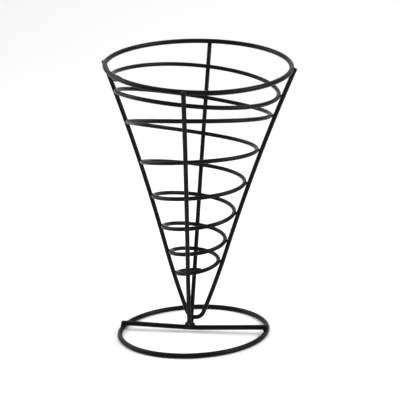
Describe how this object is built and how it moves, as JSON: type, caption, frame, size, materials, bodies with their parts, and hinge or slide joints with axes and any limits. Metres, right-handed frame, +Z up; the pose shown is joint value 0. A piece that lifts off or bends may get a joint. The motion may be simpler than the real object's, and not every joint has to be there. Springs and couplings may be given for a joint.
{
  "type": "wire cone basket",
  "caption": "Free-standing cone basket of round black wire: a slanted rim ring on crossed V-shaped legs with a coil wound inside them, on a round wire base ring with a crossbar.",
  "frame": {"origin": "middle of the base ring, on the table plane", "axes": "+Z up, the side leg wire lies in the plane of X and Z, the low front of the rim faces -Y"},
  "size_m": [0.1304, 0.1276, 0.1999],
  "materials": {
    "wire_coating": "satin black powder coat"
  },
  "bodies": {
    "root": {"rim_ring": "wire_coating", "side_leg_wire": "wire_coating", "front_leg_wire": "wire_coating", "coil": "wire_coating", "base_ring": "wire_coating", "crossbar": "wire_coating", "foot_weld": "wire_coating", "bar_welds": "wire_coating"}
  },
  "joints": []
}
